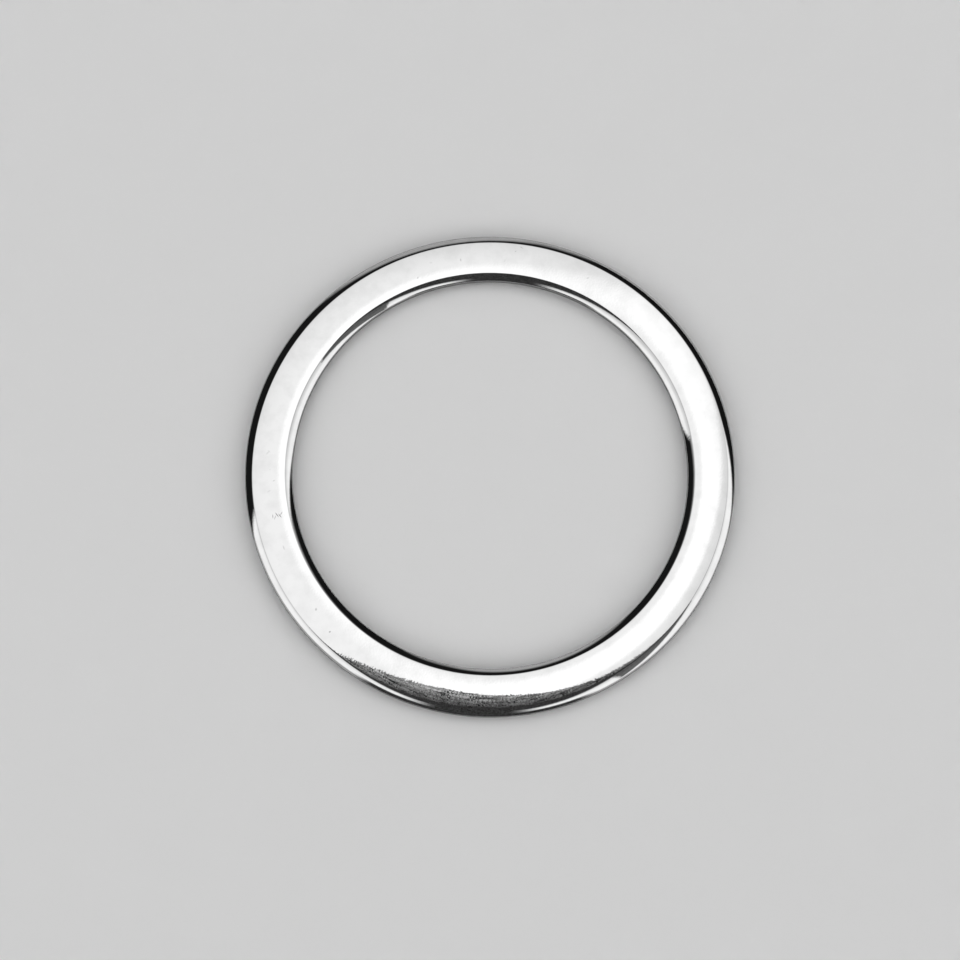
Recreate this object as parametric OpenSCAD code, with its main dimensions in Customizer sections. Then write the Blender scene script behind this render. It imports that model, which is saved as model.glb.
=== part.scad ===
// Flat round ring for straps and webbing, cast in one piece and plated.
// Origin at the centre of the underside, +Z along the ring's axis, sizes in millimetres.
// The section has a flat back and a lightly crowned front. Each side slopes away from a soft crease
// in a shallow arc, turns over a small edge round and drops to a straight wall. The lower half of a
// side mirrors the upper half, and the inner side mirrors the outer one.

/* [Ring] */
// Clear diameter of the hole, across the straight wall of the bore
inner_diameter = 50; // [25:0.5:75]
// Radial width of the band, from the bore to the outer wall
band_width = 6; // [4.5:0.05:9]
// Height of the ring, from the flat back to the top of the crown
thickness = 2; // [1.9:0.05:4]

/* [Section] */
// Radius of the crowned front in the cut section
crown_radius = 26; // [12:0.5:60]
// Radial width of a sloping edge, from its crease to the wall
bevel_width = 0.95; // [0.65:0.01:1.05]
// Radius of the shallow arc of a sloping edge
bevel_radius = 3; // [2.6:0.05:4]
// Angle at which a sloping edge leaves the flat back, in degrees
crease_angle = 23; // [15:1:28]
// Radius of the small round between a sloping edge and its wall
edge_radius = 0.3; // [0.2:0.01:0.45]

/* [Hidden] */
$fn = 180;

inner_radius = inner_diameter / 2;
middle_radius = inner_radius + band_width / 2;

// A crease of the crowned front: its distance from the middle of the band, and its height
crease_place = band_width / 2 - bevel_width;
crease_height = thickness - crown_radius
    + sqrt(crown_radius * crown_radius - crease_place * crease_place);
// Centre of the shallow arc: its distance from the middle of the band, and its depth below the crease
bevel_centre = crease_place - bevel_radius * sin(crease_angle);
bevel_depth = bevel_radius * cos(crease_angle);
// How far the edge round stands out of the shallow arc, so that the two arcs cross
arcs_lap = 0.0002;
// Centre of the edge round: its distance from the centre of the shallow arc, and from the middle of the band
edge_reach = bevel_radius - edge_radius + arcs_lap;
edge_centre = band_width / 2 - edge_radius;
// Angle and place at which the shallow arc runs into the edge round
turn_angle = asin((edge_centre - bevel_centre) / edge_reach);
turn_place = bevel_centre + bevel_radius * sin(turn_angle);
// The straight wall, between the edge rounds above and below it
wall_bottom = bevel_depth - edge_reach * cos(turn_angle);
wall_top = crease_height - wall_bottom;

// One half of the section, drawn from the middle of the band outwards.
module half_section() {
    intersection() {
        translate([bevel_centre, crease_height - bevel_depth])
            circle(r = bevel_radius);
        translate([bevel_centre, bevel_depth])
            circle(r = bevel_radius);
        translate([bevel_centre, 0])
            square([turn_place - bevel_centre, thickness]);
    }
    translate([edge_centre, wall_top])
        circle(r = edge_radius);
    translate([edge_centre, wall_bottom])
        circle(r = edge_radius);
    translate([edge_centre, wall_bottom])
        square([edge_radius, wall_top - wall_bottom]);
    square([bevel_centre + edge_radius, thickness]);
}

// The cut section in the plane of the axis, radius along X and height along Y.
module section() {
    translate([middle_radius, 0])
        intersection() {
            union() {
                half_section();
                mirror([1, 0])
                    half_section();
            }
            translate([0, thickness - crown_radius])
                circle(r = crown_radius);
        }
}

module ring() {
    color([0.80, 0.80, 0.80])
        rotate_extrude()
            section();
}

ring();
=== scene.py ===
"""A flat metal ring in bright nickel plate, lying on a pale studio floor.

Lengths are in metres, in the frame of the solids: origin at the centre of the ring's flat back, +Z up.
"""
from math import asin, cos, pi, radians, sin, sqrt

import bpy
import numpy as np
from mathutils import Euler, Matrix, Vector, noise


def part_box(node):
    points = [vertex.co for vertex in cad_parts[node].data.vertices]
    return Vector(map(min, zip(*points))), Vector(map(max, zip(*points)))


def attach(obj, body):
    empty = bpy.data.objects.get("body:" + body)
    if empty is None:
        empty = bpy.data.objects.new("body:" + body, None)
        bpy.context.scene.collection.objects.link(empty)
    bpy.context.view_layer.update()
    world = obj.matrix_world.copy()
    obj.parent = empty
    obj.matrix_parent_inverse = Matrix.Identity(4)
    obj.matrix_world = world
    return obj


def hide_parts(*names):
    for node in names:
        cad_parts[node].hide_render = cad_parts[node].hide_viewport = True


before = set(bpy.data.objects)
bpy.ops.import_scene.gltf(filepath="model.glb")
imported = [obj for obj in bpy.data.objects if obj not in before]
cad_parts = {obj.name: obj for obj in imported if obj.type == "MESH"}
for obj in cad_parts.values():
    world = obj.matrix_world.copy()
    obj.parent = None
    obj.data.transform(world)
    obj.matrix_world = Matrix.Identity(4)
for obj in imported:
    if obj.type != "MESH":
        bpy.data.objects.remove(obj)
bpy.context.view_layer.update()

MM = 0.001

# The ring's section, as the solid has it
ring_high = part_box("ring")[1]
OUTER_RADIUS = ring_high.x
THICKNESS = ring_high.z
BAND_WIDTH = 6 * MM
CROWN_RADIUS = 26 * MM
BEVEL_WIDTH = 0.95 * MM
BEVEL_RADIUS = 3 * MM
CREASE_ANGLE = radians(23)
EDGE_RADIUS = 0.3 * MM
MIDDLE_RADIUS = OUTER_RADIUS - BAND_WIDTH / 2
CREASE_PLACE = BAND_WIDTH / 2 - BEVEL_WIDTH

# How polishing left it: creases rubbed soft and a little out of place, the outer one oval, and a wavy face
CREASE_SOFTNESS = 0.04 * MM
RUBBED_DEPTH = 0.45 * MM
RUBBED_FADE = 0.1 * MM
INNER_CREASE_SHIFT = 0.05 * MM
OUTER_CREASE_SHIFT = 0.04 * MM
OUTER_CREASE_OVAL = 0.05 * MM
OUTER_CREASE_TURN = radians(130)
WAVE_DEPTH = 0.004 * MM
WAVE_LENGTH = 7 * MM

# Mesh density: steps round the ring, points round its section, and the finer outline they are picked from
STEPS_ROUND = 640
SECTION_POINTS = 144
ARC_POINTS = 60
OUTLINE_SPACING = 0.01 * MM

# The plate. Buffing reached the front and its sloping edges; lower down it stayed dull, and its darker colour
# there is painted shade of the gap under the ring's edge
BUFFED_COLOUR = "#C0C0C0"
BUFFED_ROUGHNESS = 0.01
DULL_AND_SHADED_COLOUR = "#7A7A7A"
DULL_ROUGHNESS = 0.25
DULL_AND_SHADED_BELOW = THICKNESS - 0.68 * MM
DULL_AND_SHADED_FADE = 0.04 * MM
WORN_COLOUR = "#303030"
CLOUD_SIZE = 2 * MM
CLOUD_DEPTH = {"From Min": 0.42, "From Max": 0.75, "To Min": 0.0, "To Max": 0.09}
# Orange peel of the casting, drawn coarser than the real one so that it shows
PEEL_SIZE = 0.25 * MM
PEEL_DEPTH = 0.001 * MM

# Scuffs on the face: angle round the ring and turn of the mark, in degrees; radius, length and width, in
# millimetres; and how dark each is. The first five are a cluster of short strokes, the rest faint specks.
SCUFFS = [
    (192.2, 95, 27.95, 0.70, 0.14, 0.55),
    (192.6, 70, 27.70, 0.75, 0.13, 0.50),
    (192.0, 128, 27.40, 0.90, 0.15, 0.75),
    (192.4, 130, 27.05, 0.80, 0.15, 0.75),
    (191.9, 62, 26.85, 0.70, 0.13, 0.60),
    (175.4, 50, 28.20, 0.90, 0.30, 0.14),
    (175.0, 140, 28.05, 0.60, 0.20, 0.14),
    (179.8, 20, 27.80, 0.40, 0.25, 0.08),
    (182.8, 20, 27.30, 0.40, 0.20, 0.22),
    (185.5, 30, 28.00, 0.80, 0.30, 0.14),
    (200.9, 110, 27.70, 0.80, 0.25, 0.22),
    (219.1, 80, 28.00, 0.50, 0.35, 0.35),
    (225.7, 30, 28.60, 0.40, 0.30, 0.50),
    (97.8, 100, 27.90, 0.55, 0.30, 0.22),
    (110.2, 60, 26.90, 0.45, 0.25, 0.22),
    (83.5, 40, 29.00, 0.45, 0.20, 0.22),
    (82.1, 150, 29.60, 0.70, 0.20, 0.25),
    (86.1, 60, 27.60, 0.80, 0.35, 0.10),
    (63.6, 30, 28.20, 0.50, 0.30, 0.18),
    (105.6, 0, 28.30, 0.50, 0.30, 0.08),
]
SCUFF_EDGE = {"From Min": 1.0, "From Max": 0.3, "To Min": 0.0}

# The floor: matt, a little glossy, and letting light spread under its surface
FLOOR_COLOUR = "#F2F2F2"
FLOOR_ROUGHNESS = 0.5
FLOOR_GLOSS = 0.3
FLOOR_SPREAD = 6 * MM
FLOOR_REACH = 3.0

# The studio, as ramps over a direction's tilt from the zenith, its turn from the front (positive to the
# right), and its X and Y. The plate mirrors all of it.
STUDIO_STRENGTH = 1.25
BACKDROP_COLOUR = "#CCCCCC"
SMOOTH = {"interpolation_type": "SMOOTHSTEP"}

# The roof dims towards its rim, which comes in at the back and on the left, and is shaded on the right
ROOF_DIMS = {"From Min": radians(6), "From Max": radians(36), "To Min": 1.36, "To Max": 1.0}
ROOF_RIM = {"From Min": radians(38), "From Max": radians(60), "To Min": 1.0, "To Max": 0.012}
ROOF_RIM_LEAN = 0.1
ROOF_SHADE = {"From Min": 0.07, "From Max": 0.21, "To Min": 1.0, "To Max": 0.86}
ROOF_SHADE_SLANT = -0.3
# A gap between the roof and the walls on both sides, faded across by tilt and along by turn
GAP_TILT = radians(32)
GAP_ACROSS = {"From Min": radians(10), "From Max": radians(3), "To Min": 0.0, "To Max": 0.4}
GAP_TURN = radians(75)
GAP_ALONG = {"From Min": radians(36), "From Max": radians(20)}
# The lamp shows through the roof as a brighter oval, behind and to the right
LAMP_OVAL = {"Location": (0.117, 0.203, 0), "Rotation": (0, 0, radians(-32)), "Scale": (0.085, 0.24, 1)}
LAMP_GLOW = {"From Min": 0.75, "From Max": 1.3, "To Min": 0.3, "To Max": 0.0}

# The front wall brightens downwards, dims at a foot that drops towards the sides, and has slanting ends
WALL_BRIGHTENS = {"From Min": radians(42), "From Max": radians(60), "To Min": 0.9, "To Max": 1.35}
WALL_TOP = {"From Min": radians(33), "From Max": radians(41)}
WALL_FOOT = {"From Min": radians(66), "From Max": radians(60), "To Min": 0.35, "To Max": 1.0}
WALL_FOOT_DROP = -0.22
WALL_LEFT_END = {"From Min": radians(-110), "From Max": radians(-106)}
WALL_LEFT_SLANT = -0.27
WALL_RIGHT_END = {"From Min": radians(166), "From Max": radians(158)}
WALL_RIGHT_SLANT = 0.85

# A grey screen stands low down at the back, with a dimmer skirting along its foot
SCREEN_MIDDLE = (-0.173, 0.981, -0.087)
SCREEN_FADES = {"From Min": 0.31, "From Max": 0.53, "To Min": 0.5, "To Max": 0.0}
SKIRTING_TOP = {"From Min": radians(70), "From Max": radians(88), "To Max": 0.33}
SKIRTING_ENDS = {"From Min": 0.91, "From Max": 0.96}

# The camera stand: a round head cut to a wedge. Its sides are lines of X over Y, with the slope and the
# offset under the numbers of the sockets they go to.
HEAD_MIDDLE = (0, -0.335, 0)
HEAD_EDGE = {"From Min": 0.54, "From Max": 0.46}
WEDGE_LEFT = {1: -1.5, 2: 0.148}
WEDGE_RIGHT = {1: -1.75, 2: 0.1125}
WEDGE_RIGHT_TIP = {1: -1.04, 2: 0.089}
WEDGE_EDGE = {"From Min": -0.006, "From Max": 0.006}
# Its shoulder on the right, with a foot that rises outwards, a near end and a far edge
SHOULDER_FOOT = {"From Min": radians(102), "From Max": radians(96), "To Max": 0.9}
SHOULDER_FOOT_RISE = 0.75
SHOULDER_NEAR = {"From Min": radians(38), "From Max": radians(40)}
SHOULDER_FAR = {"From Min": -0.008, "From Max": 0.008}
SHOULDER_FAR_SLANT = -0.5
SHOULDER_FAR_CORNER = 0.1
# Its column, a little to the left of the middle, on a wide low sill
COLUMN_OFFSET = radians(4)
COLUMN_WIDTH = {"From Min": radians(23), "From Max": radians(10)}
COLUMN_TOP = {"From Min": radians(35), "From Max": radians(45)}
SILL_WIDTH = {"From Min": radians(37), "From Max": radians(29)}
SILL_TOP = {"From Min": radians(61), "From Max": radians(66)}
# The stand is darkest in front. Fine clutter breaks it up, squeezed sideways so that it shows as even grain.
GLOOM_ROOT = {"From Min": -0.09, "From Max": 0.06, "To Min": 0.35, "To Max": 0.7}
GLOOM_POWER = 3.0
CLUTTER_SQUEEZE = (9, 1, 1)
CLUTTER_SCALE = 40.0
CLUTTER_CONTRAST = {"From Min": 0.42, "From Max": 0.62, "To Min": 0.05, "To Max": 2.6}

# The camera, as fitted to the photograph's outlines and creases
PHOTO_SIDE = 960
RING_CENTRE_IN_PHOTO = (490.3, 470.7)
CAMERA_TILT = radians(11.1)
CAMERA_LEAN = radians(-0.5)
CAMERA_DISTANCE = 277.6 * MM
PIXELS_PER_METRE = 7.924 / MM
SENSOR_WIDTH = 36
CLIP_START = 10 * MM


def linear(hex_colour):
    """An sRGB hex colour as linear red, green, blue and full alpha."""
    channels = [int(hex_colour[i:i + 2], 16) / 255 for i in (1, 3, 5)]
    return (*[c / 12.92 if c <= 0.04045 else ((c + 0.055) / 1.055) ** 2.4 for c in channels], 1.0)


def add(tree, kind, inputs=None, give=0, **settings):
    """Adds a node with its settings and gives one output; each input is a value or an output to link."""
    node = tree.nodes.new(kind)
    for name, value in settings.items():
        setattr(node, name, value)
    for name, value in (inputs or {}).items():
        if isinstance(value, bpy.types.NodeSocket):
            tree.links.new(value, node.inputs[name])
        else:
            node.inputs[name].default_value = value
    return node.outputs[give] if node.outputs else None


def side_arcs(crease_place):
    """The arcs of a side, front crease to back: (centre from mid-band, height, radius, start, stop)."""
    crease = THICKNESS - CROWN_RADIUS + sqrt(CROWN_RADIUS ** 2 - crease_place ** 2)
    bevel_centre = crease_place - BEVEL_RADIUS * sin(CREASE_ANGLE)
    bevel_depth = BEVEL_RADIUS * cos(CREASE_ANGLE)
    edge_centre = BAND_WIDTH / 2 - EDGE_RADIUS
    reach = BEVEL_RADIUS - EDGE_RADIUS
    turn = asin((edge_centre - bevel_centre) / reach)
    edge_height = bevel_depth - reach * cos(turn)
    return [
        (bevel_centre, crease - bevel_depth, BEVEL_RADIUS, CREASE_ANGLE, turn),
        (edge_centre, crease - edge_height, EDGE_RADIUS, turn, pi / 2),
        (edge_centre, edge_height, EDGE_RADIUS, pi / 2, pi - turn),
        (bevel_centre, bevel_depth, BEVEL_RADIUS, pi - turn, pi - CREASE_ANGLE),
    ]


def section_outline():
    """The closed cut section as (radius, height) points: crown, outer side, flat back, inner side."""
    inner_crease = CREASE_PLACE + INNER_CREASE_SHIFT
    crown = (0, THICKNESS - CROWN_RADIUS, CROWN_RADIUS,
             -asin(inner_crease / CROWN_RADIUS), asin(CREASE_PLACE / CROWN_RADIUS))
    outer = side_arcs(CREASE_PLACE)
    inner = [(-centre, height, radius, -stop, -start)
             for centre, height, radius, start, stop in side_arcs(inner_crease)]
    points = []
    for centre, height, radius, start, stop in [crown] + outer + inner[::-1]:
        way = np.linspace(start, stop, ARC_POINTS)
        across = MIDDLE_RADIUS + centre + radius * np.sin(way)
        points.append(np.stack([across, height + radius * np.cos(way)], 1))
    outline = np.concatenate(points)
    return soften(evenly(np.vstack([outline, outline[:1]])))


def evenly(outline):
    """The closed outline again, with points at an even spacing."""
    along = np.concatenate([[0], np.cumsum(np.linalg.norm(np.diff(outline, axis=0), axis=1))])
    places = np.linspace(0, along[-1], round(along[-1] / OUTLINE_SPACING), endpoint=False)
    return np.stack([np.interp(places, along, outline[:, i]) for i in (0, 1)], 1)


def soften(outline):
    """Rubs the creases soft with a moving average, then keeps points where the outline turns or runs on."""
    spacing = np.linalg.norm(outline[1] - outline[0])
    reach = round(3 * CREASE_SOFTNESS / spacing)
    offsets = np.arange(-reach, reach + 1)
    weights = np.exp(-0.5 * (offsets * spacing / CREASE_SOFTNESS) ** 2)
    smooth = sum(w * np.roll(outline, -k, axis=0) for k, w in zip(offsets, weights)) / weights.sum()
    from_middle = np.abs(outline[:, 1] - THICKNESS / 2)
    rubbed = np.clip((from_middle - THICKNESS / 2 + RUBBED_DEPTH) / RUBBED_FADE, 0, 1)[:, None]
    smooth = rubbed * smooth + (1 - rubbed) * outline
    ahead = np.roll(smooth, -1, axis=0) - smooth
    heading = np.unwrap(np.arctan2(ahead[:, 1], ahead[:, 0]))
    turning = np.abs(np.diff(heading, append=heading[0] - 2 * pi))
    length = np.linalg.norm(ahead, axis=1)
    effort = np.concatenate([[0], np.cumsum(length / length.sum() + turning / turning.sum())])
    wanted = np.linspace(0, effort[-1], SECTION_POINTS, endpoint=False)
    closed = np.vstack([smooth, smooth[:1]])
    return np.stack([np.interp(wanted, effort, closed[:, i]) for i in (0, 1)], 1)


def cast_ring():
    """The ring as one closed mesh: the section turned round the axis, its front a little wavy."""
    outline = section_outline()
    angles = np.linspace(0, 2 * pi, STEPS_ROUND, endpoint=False)
    radius, height = outline[:, 0], outline[:, 1]
    outer_crease = MIDDLE_RADIUS + CREASE_PLACE
    near_crease = np.interp(radius, [MIDDLE_RADIUS, outer_crease, OUTER_RADIUS], [0, 1, 0])
    moved = OUTER_CREASE_SHIFT + OUTER_CREASE_OVAL * np.cos(2 * (angles - OUTER_CREASE_TURN))
    radii = radius - np.outer(moved, near_crease * (height > THICKNESS / 2))
    verts = np.stack([
        np.cos(angles)[:, None] * radii,
        np.sin(angles)[:, None] * radii,
        np.broadcast_to(height, radii.shape),
    ], 2).reshape(-1, 3)
    front = np.clip(verts[:, 2] / THICKNESS, 0, 1)
    waves = np.array([noise.noise(Vector(v) / WAVE_LENGTH) for v in verts])
    verts[:, 2] -= front * WAVE_DEPTH * (0.5 + 0.5 * waves)
    steps, points = np.meshgrid(np.arange(STEPS_ROUND), np.arange(SECTION_POINTS), indexing="ij")
    next_step, next_point = (steps + 1) % STEPS_ROUND, (points + 1) % SECTION_POINTS
    corners = [(steps, points), (steps, next_point), (next_step, next_point), (next_step, points)]
    faces = np.stack([s * SECTION_POINTS + p for s, p in corners], 2).reshape(-1, 4)
    mesh = bpy.data.meshes.new("cast_ring")
    mesh.from_pydata(verts.tolist(), [], faces[:, ::-1].tolist())
    mesh.shade_smooth()
    ring = bpy.data.objects.new("cast_ring", mesh)
    bpy.context.scene.collection.objects.link(ring)
    return ring


def bright_nickel():
    """Bright nickel plate over die-cast zinc.

    The eye gets a neutral mirror with a faint orange peel where buffing reached, and dull walls whose darker
    colour is painted shade of the gap under the ring.
    """
    material = bpy.data.materials.new("bright nickel plate on die-cast zinc")
    material.use_nodes = True
    tree = material.node_tree
    tree.nodes.clear()
    place = add(tree, "ShaderNodeTexCoord", give="Object")
    height = add(tree, "ShaderNodeSeparateXYZ", {"Vector": place}, give="Z")
    buffed_and_unshaded = add(tree, "ShaderNodeMapRange", {
        "Value": height, "From Min": DULL_AND_SHADED_BELOW - DULL_AND_SHADED_FADE, "From Max": DULL_AND_SHADED_BELOW + DULL_AND_SHADED_FADE})
    rough = add(tree, "ShaderNodeMapRange", {
        "Value": buffed_and_unshaded, "To Min": DULL_ROUGHNESS, "To Max": BUFFED_ROUGHNESS})
    # Mix's sockets share names, so its colours and its result go by number
    # Low on the walls the colour is darker: painted shade of the gap where the ring's edge meets the floor
    colour = add(tree, "ShaderNodeMix", {
        "Factor": buffed_and_unshaded, 6: linear(DULL_AND_SHADED_COLOUR), 7: linear(BUFFED_COLOUR)}, give=2, data_type="RGBA")
    # Handling left a faint cloudiness and scuffs on the face
    clouds = add(tree, "ShaderNodeTexNoise", {"Vector": place, "Scale": 1 / CLOUD_SIZE, "Detail": 4.0})
    worn = add(tree, "ShaderNodeMapRange", {"Value": clouds, **CLOUD_DEPTH})
    plan = add(tree, "ShaderNodeVectorMath", {0: place, 1: (1, 1, 0)}, operation="MULTIPLY")
    for angle, turn, radius, length, width, depth in SCUFFS:
        middle = (radius * MM * cos(radians(angle)), radius * MM * sin(radians(angle)), 0)
        mark = add(tree, "ShaderNodeMapping", {
            "Vector": plan, "Location": middle, "Rotation": (0, 0, radians(turn)),
            "Scale": (length * MM / 2, width * MM / 2, 1)}, vector_type="TEXTURE")
        mark = add(tree, "ShaderNodeVectorMath", {0: mark}, give="Value", operation="LENGTH")
        mark = add(tree, "ShaderNodeMapRange", {"Value": mark, "To Max": depth, **SCUFF_EDGE})
        worn = add(tree, "ShaderNodeMath", {0: worn, 1: mark}, operation="MAXIMUM")
    colour = add(tree, "ShaderNodeMix", {
        "Factor": worn, 6: colour, 7: linear(WORN_COLOUR)}, give=2, data_type="RGBA")
    peel = add(tree, "ShaderNodeTexNoise", {"Vector": place, "Scale": 1 / PEEL_SIZE, "Detail": 0.0})
    peel = add(tree, "ShaderNodeBump", {"Height": peel, "Strength": 1.0, "Distance": PEEL_DEPTH})
    plate = add(tree, "ShaderNodeBsdfPrincipled", {
        "Base Color": colour, "Metallic": 1.0, "Roughness": rough, "Normal": peel})
    add(tree, "ShaderNodeOutputMaterial", {"Surface": plate})
    return material


def pale_floor():
    """A wide matt floor of pale grey acrylic sheet, in which light spreads and softens the ring's shade."""
    material = bpy.data.materials.new("pale acrylic sheet")
    material.use_nodes = True
    sheet = material.node_tree.nodes["Principled BSDF"]
    sheet.inputs["Base Color"].default_value = linear(FLOOR_COLOUR)
    sheet.inputs["Roughness"].default_value = FLOOR_ROUGHNESS
    sheet.inputs["Specular IOR Level"].default_value = FLOOR_GLOSS
    sheet.subsurface_method = "BURLEY"
    sheet.inputs["Subsurface Weight"].default_value = 1.0
    sheet.inputs["Subsurface Radius"].default_value = (1, 1, 1)
    sheet.inputs["Subsurface Scale"].default_value = FLOOR_SPREAD
    mesh = bpy.data.meshes.new("floor")
    corners = [(x * FLOOR_REACH, y * FLOOR_REACH, 0) for x, y in ((-1, -1), (1, -1), (1, 1), (-1, 1))]
    mesh.from_pydata(corners, [], [(0, 1, 2, 3)])
    mesh.materials.append(material)
    floor = bpy.data.objects.new("floor", mesh)
    bpy.context.scene.collection.objects.link(floor)


def roof_light(tree, flat, x, y, tilt, turn):
    """The lit roof of the tent, with its gaps and the lamp that shows through it."""
    roof = add(tree, "ShaderNodeMapRange", {"Value": tilt, **ROOF_DIMS}, **SMOOTH)
    lean = add(tree, "ShaderNodeMath", {0: y, 1: x}, operation="SUBTRACT")
    lean = add(tree, "ShaderNodeMath", {0: lean, 1: ROOF_RIM_LEAN, 2: tilt}, operation="MULTIPLY_ADD")
    rim = add(tree, "ShaderNodeMapRange", {"Value": lean, **ROOF_RIM}, **SMOOTH)
    shade = add(tree, "ShaderNodeMath", {0: y, 1: ROOF_SHADE_SLANT, 2: x}, operation="MULTIPLY_ADD")
    shade = add(tree, "ShaderNodeMapRange", {"Value": shade, **ROOF_SHADE})
    across = add(tree, "ShaderNodeMath", {0: tilt, 1: GAP_TILT}, operation="SUBTRACT")
    across = add(tree, "ShaderNodeMath", {0: across}, operation="ABSOLUTE")
    across = add(tree, "ShaderNodeMapRange", {"Value": across, **GAP_ACROSS}, **SMOOTH)
    along = add(tree, "ShaderNodeMath", {0: turn}, operation="ABSOLUTE")
    along = add(tree, "ShaderNodeMath", {0: along, 1: GAP_TURN}, operation="SUBTRACT")
    along = add(tree, "ShaderNodeMath", {0: along}, operation="ABSOLUTE")
    along = add(tree, "ShaderNodeMapRange", {"Value": along, **GAP_ALONG}, **SMOOTH)
    gap = add(tree, "ShaderNodeMath", {0: across, 1: along}, operation="MULTIPLY")
    gap = add(tree, "ShaderNodeMath", {0: 1.0, 1: gap}, operation="SUBTRACT")
    for share in (rim, shade, gap):
        roof = add(tree, "ShaderNodeMath", {0: roof, 1: share}, operation="MULTIPLY")
    lamp = add(tree, "ShaderNodeMapping", {"Vector": flat, **LAMP_OVAL}, vector_type="TEXTURE")
    lamp = add(tree, "ShaderNodeVectorMath", {0: lamp}, give="Value", operation="LENGTH")
    lamp = add(tree, "ShaderNodeMapRange", {"Value": lamp, **LAMP_GLOW}, **SMOOTH)
    return add(tree, "ShaderNodeMath", {0: roof, 1: lamp}, operation="ADD")


def front_wall_light(tree, tilt, turn):
    """The lit front wall, from the left side round to the right."""
    wall = add(tree, "ShaderNodeMapRange", {"Value": tilt, **WALL_BRIGHTENS}, **SMOOTH)
    top = add(tree, "ShaderNodeMapRange", {"Value": tilt, **WALL_TOP}, **SMOOTH)
    foot = add(tree, "ShaderNodeMath", {0: turn}, operation="ABSOLUTE")
    foot = add(tree, "ShaderNodeMath", {0: foot, 1: WALL_FOOT_DROP, 2: tilt}, operation="MULTIPLY_ADD")
    foot = add(tree, "ShaderNodeMapRange", {"Value": foot, **WALL_FOOT}, **SMOOTH)
    left = add(tree, "ShaderNodeMath", {0: tilt, 1: WALL_LEFT_SLANT, 2: turn}, operation="MULTIPLY_ADD")
    left = add(tree, "ShaderNodeMapRange", {"Value": left, **WALL_LEFT_END}, **SMOOTH)
    right = add(tree, "ShaderNodeMath", {0: tilt, 1: WALL_RIGHT_SLANT, 2: turn}, operation="MULTIPLY_ADD")
    right = add(tree, "ShaderNodeMapRange", {"Value": right, **WALL_RIGHT_END}, **SMOOTH)
    for share in (top, foot, left, right):
        wall = add(tree, "ShaderNodeMath", {0: wall, 1: share}, operation="MULTIPLY")
    return wall


def back_screen_light(tree, way, y, tilt):
    """The grey screen at the back and its pale skirting."""
    screen = add(tree, "ShaderNodeVectorMath", {0: way, 1: SCREEN_MIDDLE}, give="Value", operation="DISTANCE")
    screen = add(tree, "ShaderNodeMapRange", {"Value": screen, **SCREEN_FADES}, **SMOOTH)
    skirting = add(tree, "ShaderNodeMapRange", {"Value": tilt, **SKIRTING_TOP}, **SMOOTH)
    ends = add(tree, "ShaderNodeMapRange", {"Value": y, **SKIRTING_ENDS}, **SMOOTH)
    skirting = add(tree, "ShaderNodeMath", {0: skirting, 1: ends}, operation="MULTIPLY")
    return add(tree, "ShaderNodeMath", {0: screen, 1: skirting}, operation="MAXIMUM")


def stand_head(tree, flat, x, y):
    """Where the stand's head hides the tent: a disc cut to a wedge that points overhead."""
    head = add(tree, "ShaderNodeVectorMath", {0: flat, 1: HEAD_MIDDLE}, give="Value", operation="DISTANCE")
    head = add(tree, "ShaderNodeMapRange", {"Value": head, **HEAD_EDGE}, **SMOOTH)
    left = add(tree, "ShaderNodeMath", {0: y, **WEDGE_LEFT}, operation="MULTIPLY_ADD")
    left = add(tree, "ShaderNodeMath", {0: left, 1: x}, operation="ADD")
    right = add(tree, "ShaderNodeMath", {0: y, **WEDGE_RIGHT}, operation="MULTIPLY_ADD")
    tip = add(tree, "ShaderNodeMath", {0: y, **WEDGE_RIGHT_TIP}, operation="MULTIPLY_ADD")
    right = add(tree, "ShaderNodeMath", {0: right, 1: tip}, operation="MAXIMUM")
    right = add(tree, "ShaderNodeMath", {0: right, 1: x}, operation="SUBTRACT")
    wedge = add(tree, "ShaderNodeMath", {0: left, 1: right}, operation="MINIMUM")
    wedge = add(tree, "ShaderNodeMapRange", {"Value": wedge, **WEDGE_EDGE}, **SMOOTH)
    return add(tree, "ShaderNodeMath", {0: head, 1: wedge}, operation="MULTIPLY")


def stand_shoulder(tree, x, forward, tilt, turn):
    """Where the stand's shoulder hides the tent, on the right."""
    foot = add(tree, "ShaderNodeMath", {0: turn, 1: SHOULDER_FOOT_RISE, 2: tilt}, operation="MULTIPLY_ADD")
    foot = add(tree, "ShaderNodeMapRange", {"Value": foot, **SHOULDER_FOOT}, **SMOOTH)
    near = add(tree, "ShaderNodeMapRange", {"Value": turn, **SHOULDER_NEAR}, **SMOOTH)
    far = add(tree, "ShaderNodeMath", {0: x, 1: SHOULDER_FAR_SLANT, 2: forward}, operation="MULTIPLY_ADD")
    far = add(tree, "ShaderNodeMath", {0: far, 1: SHOULDER_FAR_CORNER}, operation="ADD")
    far = add(tree, "ShaderNodeMath", {0: far, 1: forward}, operation="MINIMUM")
    far = add(tree, "ShaderNodeMapRange", {"Value": far, **SHOULDER_FAR}, **SMOOTH)
    shoulder = add(tree, "ShaderNodeMath", {0: foot, 1: near}, operation="MULTIPLY")
    return add(tree, "ShaderNodeMath", {0: shoulder, 1: far}, operation="MULTIPLY")


def stand_column(tree, tilt, turn):
    """Where the stand's column and the sill under it hide the tent."""
    off = add(tree, "ShaderNodeMath", {0: turn, 1: COLUMN_OFFSET}, operation="ADD")
    off = add(tree, "ShaderNodeMath", {0: off}, operation="ABSOLUTE")
    pieces = []
    for width, top in ((COLUMN_WIDTH, COLUMN_TOP), (SILL_WIDTH, SILL_TOP)):
        wide = add(tree, "ShaderNodeMapRange", {"Value": off, **width}, **SMOOTH)
        low = add(tree, "ShaderNodeMapRange", {"Value": tilt, **top}, **SMOOTH)
        pieces.append(add(tree, "ShaderNodeMath", {0: wide, 1: low}, operation="MULTIPLY"))
    return add(tree, "ShaderNodeMath", {0: pieces[0], 1: pieces[1]}, operation="MAXIMUM")


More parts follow.
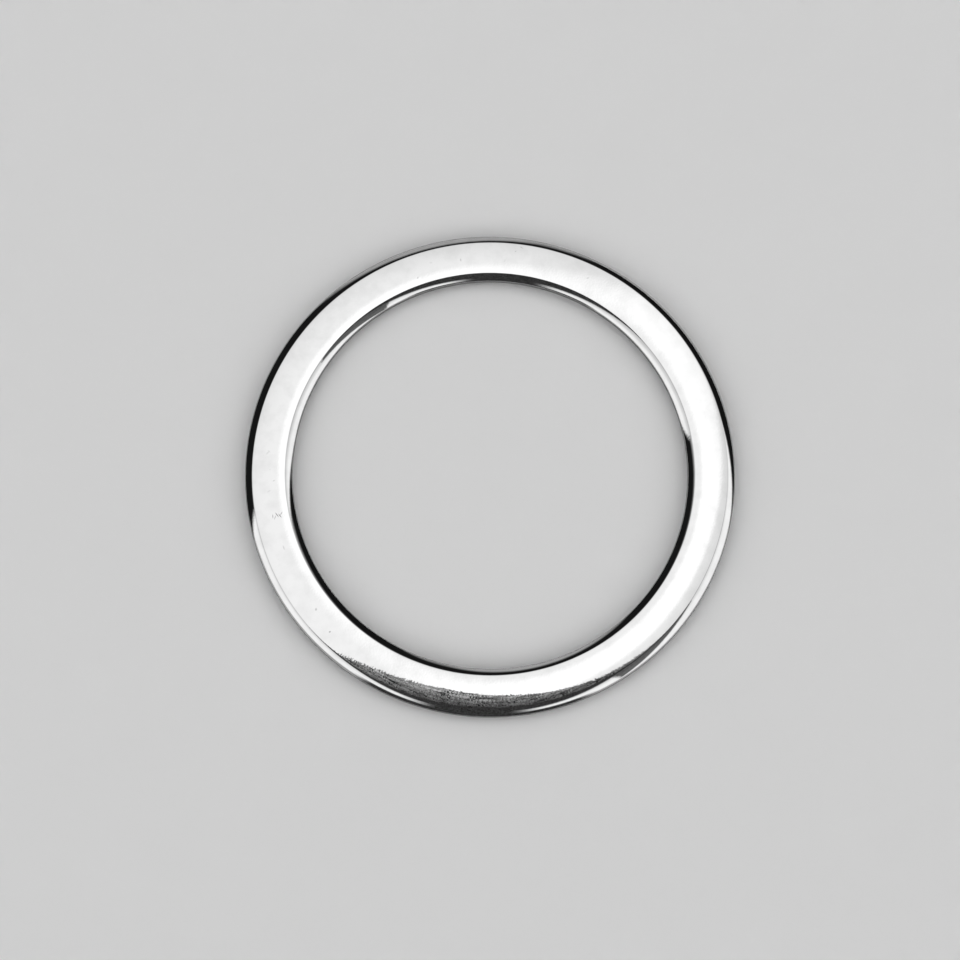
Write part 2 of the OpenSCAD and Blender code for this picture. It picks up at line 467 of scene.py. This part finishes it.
def stand_gloom(tree, way, y):
    """The little light that comes from the stand, with its clutter."""
    gloom = add(tree, "ShaderNodeMapRange", {"Value": y, **GLOOM_ROOT})
    gloom = add(tree, "ShaderNodeMath", {0: gloom, 1: GLOOM_POWER}, operation="POWER")
    clutter = add(tree, "ShaderNodeVectorMath", {0: way, 1: CLUTTER_SQUEEZE}, operation="MULTIPLY")
    clutter = add(tree, "ShaderNodeTexNoise", {"Vector": clutter, "Scale": CLUTTER_SCALE, "Detail": 1.0})
    clutter = add(tree, "ShaderNodeMapRange", {"Value": clutter, **CLUTTER_CONTRAST})
    return add(tree, "ShaderNodeMath", {0: gloom, 1: clutter}, operation="MULTIPLY")


def studio_light():
    """A white tent, lit from above and in front and open at the sides, with a dark camera stand in it."""
    world = bpy.data.worlds.new("studio")
    bpy.context.scene.world = world
    world.use_nodes = True
    tree = world.node_tree
    tree.nodes.clear()
    way = add(tree, "ShaderNodeTexCoord", give="Generated")
    flat = add(tree, "ShaderNodeVectorMath", {0: way, 1: (1, 1, 0)}, operation="MULTIPLY")
    x, y, z = add(tree, "ShaderNodeSeparateXYZ", {"Vector": way}).node.outputs
    forward = add(tree, "ShaderNodeMath", {0: y, 1: -1.0}, operation="MULTIPLY")
    tilt = add(tree, "ShaderNodeMath", {0: z}, operation="ARCCOSINE")
    turn = add(tree, "ShaderNodeMath", {0: x, 1: forward}, operation="ARCTAN2")

    tent = roof_light(tree, flat, x, y, tilt, turn)
    for lit in (front_wall_light(tree, tilt, turn), back_screen_light(tree, way, y, tilt)):
        tent = add(tree, "ShaderNodeMath", {0: tent, 1: lit}, operation="MAXIMUM")
    stand = stand_head(tree, flat, x, y)
    for dark in (stand_shoulder(tree, x, forward, tilt, turn), stand_column(tree, tilt, turn)):
        stand = add(tree, "ShaderNodeMath", {0: stand, 1: dark}, operation="MAXIMUM")
    gloom = stand_gloom(tree, way, y)
    level = add(tree, "ShaderNodeMix", {"Factor": stand, 2: tent, 3: gloom}, data_type="FLOAT")
    level = add(tree, "ShaderNodeMath", {0: level, 1: STUDIO_STRENGTH}, operation="MULTIPLY")

    # Past the floor's edge the camera sees a plain pale backdrop, and the plate still mirrors the tent
    light = add(tree, "ShaderNodeBackground", {"Color": linear("#FFFFFF"), "Strength": level})
    backdrop = add(tree, "ShaderNodeBackground", {"Color": linear(BACKDROP_COLOUR), "Strength": 1.0})
    seen = add(tree, "ShaderNodeLightPath", give="Is Camera Ray")
    mixed = add(tree, "ShaderNodeMixShader", {0: seen, 1: light, 2: backdrop})
    add(tree, "ShaderNodeOutputWorld", {"Surface": mixed})


def camera():
    """Looks down on the ring from a little in front, so that it falls where the photograph has it."""
    data = bpy.data.cameras.new("camera")
    data.sensor_width = SENSOR_WIDTH
    data.lens = SENSOR_WIDTH * PIXELS_PER_METRE * CAMERA_DISTANCE / PHOTO_SIDE
    data.clip_start = CLIP_START
    turned = Euler((CAMERA_TILT, CAMERA_LEAN, 0)).to_matrix()
    right, up, back = turned.col
    off_x = (PHOTO_SIDE / 2 - RING_CENTRE_IN_PHOTO[0]) / PIXELS_PER_METRE
    off_y = (RING_CENTRE_IN_PHOTO[1] - PHOTO_SIDE / 2) / PIXELS_PER_METRE
    aim = Vector((0, 0, THICKNESS)) + off_x * right + off_y * up
    taker = bpy.data.objects.new("camera", data)
    taker.rotation_euler = (CAMERA_TILT, CAMERA_LEAN, 0)
    taker.location = aim + CAMERA_DISTANCE * back
    bpy.context.scene.collection.objects.link(taker)
    bpy.context.scene.camera = taker


ring = cast_ring()
ring.data.materials.append(bright_nickel())
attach(ring, "root")
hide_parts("ring")
pale_floor()
studio_light()
camera()
bpy.context.scene.view_settings.view_transform = "Standard"
